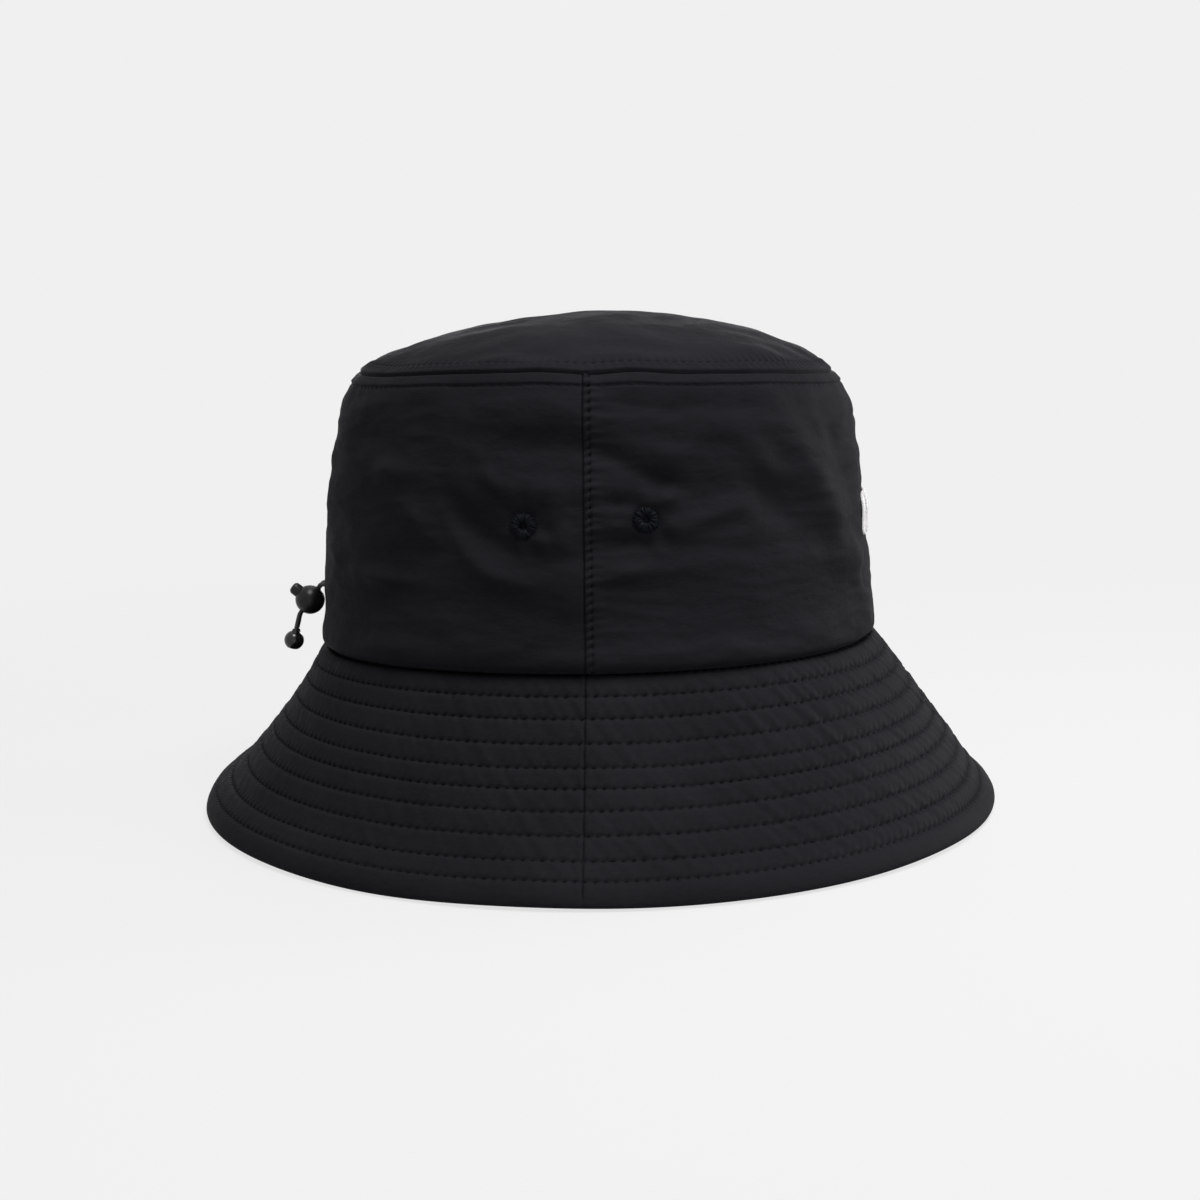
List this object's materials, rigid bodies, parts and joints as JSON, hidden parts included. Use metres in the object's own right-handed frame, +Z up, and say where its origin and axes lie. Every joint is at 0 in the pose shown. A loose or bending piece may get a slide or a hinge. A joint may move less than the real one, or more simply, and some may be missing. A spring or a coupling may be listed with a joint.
{
  "type": "bucket hat",
  "caption": "Soft bucket hat with a domed oval tip, a sloping stitched brim, side vents and a cord lock at the back that tightens the drawcord.",
  "frame": {"origin": "centre of the brim edge, on the surface that the hat stands on", "axes": "+X to the front of the hat, +Y to the wearer's left, +Z up"},
  "size_m": [0.2946, 0.2666, 0.178],
  "materials": {
    "crown_cloth": "tight nylon weave, slight sheen",
    "brim_cloth": "tight nylon weave, quilted rows",
    "lining": "thin smooth lining cloth",
    "sweatband": "matte ribbed band",
    "core": "stiff non-woven",
    "thread": "embroidery thread",
    "motif_thread": "satin stitch thread",
    "cord": "braided elastic cord",
    "lock_plastic": "satin",
    "ball": "gloss",
    "spring_wire": "drawn wire"
  },
  "bodies": {
    "hat": {"crown_front": "crown_cloth", "crown_back": "crown_cloth", "crown_tip": "crown_cloth", "lining_front": "lining", "lining_back": "lining", "tip_lining": "lining", "sweatband": "sweatband", "brim_top_front": "brim_cloth", "brim_top_back": "brim_cloth", "brim_core_front": "core", "brim_core_back": "core", "brim_under_front": "brim_cloth", "brim_under_back": "brim_cloth", "vent_eyelet_right_front": "thread", "vent_eyelet_right_back": "thread", "vent_eyelet_left_front": "thread", "vent_eyelet_left_back": "thread", "cord_eyelet_right": "thread", "cord_eyelet_left": "thread", "front_motif": "motif_thread", "drawcord": "cord"},
    "cord_lock": {"lock_housing": "lock_plastic", "lock_spring": "spring_wire", "cord_neck": "cord"},
    "button": {"lock_button": "lock_plastic"},
    "cord_lead": {"cord_lead": "cord"},
    "cord_end": {"cord_tail": "cord", "end_ball": "ball", "end_knot": "cord"}
  },
  "joints": [
    {"name": "lock_swing", "type": "hinge", "parent": "hat", "child": "cord_lock", "pos_m": [-0.10311, 0, 0.0793], "axis": [0, 1, 0], "range_deg": [0, 75]},
    {"name": "button_press", "type": "slide", "parent": "cord_lock", "child": "button", "axis": [0.788, 0, -0.6157], "range_m": [0, 0.0015], "stiffness_N_per_m": 900, "springref_m": -0.001, "deforming": ["lock_spring"]},
    {"name": "cord_pull", "type": "slide", "parent": "cord_lock", "child": "cord_lead", "axis": [-0.6157, 0, -0.788], "range_m": [0, 0.03]},
    {"name": "tail_swing", "type": "hinge", "parent": "cord_lead", "child": "cord_end", "pos_m": [-0.11196, 0, 0.06797], "axis": [0, 1, 0], "range_deg": [-20, 80]}
  ]
}
